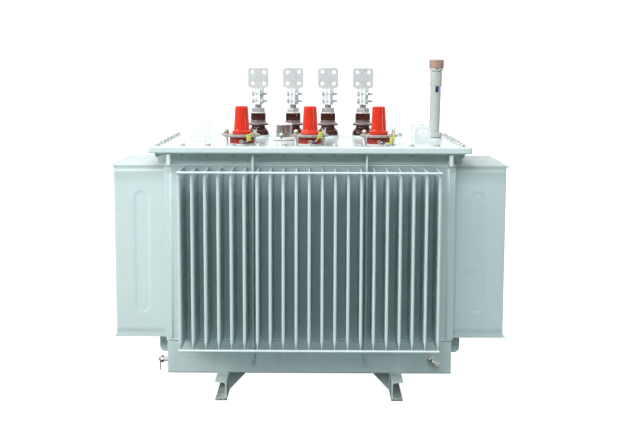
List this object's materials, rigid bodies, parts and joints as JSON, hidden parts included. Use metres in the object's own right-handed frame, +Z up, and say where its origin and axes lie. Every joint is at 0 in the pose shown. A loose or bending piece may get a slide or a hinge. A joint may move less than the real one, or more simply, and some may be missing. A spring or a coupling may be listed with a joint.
{
  "type": "oil-filled distribution transformer",
  "caption": "Sealed oil-filled power transformer: corrugated finned steel tank on channel skids, bolted cover with capped high-voltage and porcelain low-voltage bushings.",
  "frame": {"origin": "on the floor under the middle of the tank", "axes": "+X along the tank's length to the right seen from the front, +Y from the front with the capped high-voltage bushings to the back, +Z up"},
  "size_m": [1.596, 1.038, 1.345],
  "materials": {
    "tank_paint": "semi-gloss pale grey-green paint",
    "cover_paint": "glossy pale grey paint",
    "bushing_resin": "glossy red-brown cast resin",
    "plated_steel": "zinc-plated steel",
    "cast_aluminium": "turned aluminium",
    "cap_plastic": "orange-red moulded plastic",
    "brown_porcelain": "brown glazed porcelain",
    "terminal_aluminium": "tinned cast aluminium",
    "bright_metal": "bright plated sheet metal",
    "earth_lead": "yellow and green lead insulation",
    "tan_plastic": "tan moulded plastic",
    "valve_brass": "dull nickel-plated brass"
  },
  "bodies": {
    "root": {"tank_floor": "tank_paint", "tank_base": "tank_paint", "tank_wall": "tank_paint", "tank_rim": "tank_paint", "tank_flange": "tank_paint", "cover": "cover_paint", "front_fins": "tank_paint", "back_fins": "tank_paint", "left_fins": "tank_paint", "right_fins": "tank_paint", "long_side_rods": "tank_paint", "end_rods": "tank_paint", "long_side_ribs": "tank_paint", "end_ribs": "tank_paint", "corner_strips": "tank_paint", "tank_hooks": "tank_paint", "left_channel": "tank_paint", "right_channel": "tank_paint", "gussets": "tank_paint", "cover_lug_front_left": "tank_paint", "cover_lug_front_right": "tank_paint", "cover_lug_back_left": "tank_paint", "cover_lug_back_right": "tank_paint", "hv_bases": "bushing_resin", "hv_clamp_studs": "plated_steel", "hv_flanges": "cast_aluminium", "hv_earth_leads": "earth_lead", "hv_cap_1": "cap_plastic", "hv_cap_2": "cap_plastic", "hv_cap_3": "cap_plastic", "lv_bosses": "tank_paint", "lv_porcelain_1": "brown_porcelain", "lv_porcelain_2": "brown_porcelain", "lv_porcelain_3": "brown_porcelain", "lv_porcelain_4": "brown_porcelain", "lv_studs": "plated_steel", "lv_terminal_1": "terminal_aluminium", "lv_terminal_2": "terminal_aluminium", "lv_terminal_3": "terminal_aluminium", "lv_terminal_4": "terminal_aluminium", "pressure_relief_valve": "bright_metal", "oil_gauge_pipe": "tank_paint", "oil_gauge_cap": "tan_plastic", "drain_valve": "valve_brass", "sampling_valve": "plated_steel"}
  },
  "joints": []
}
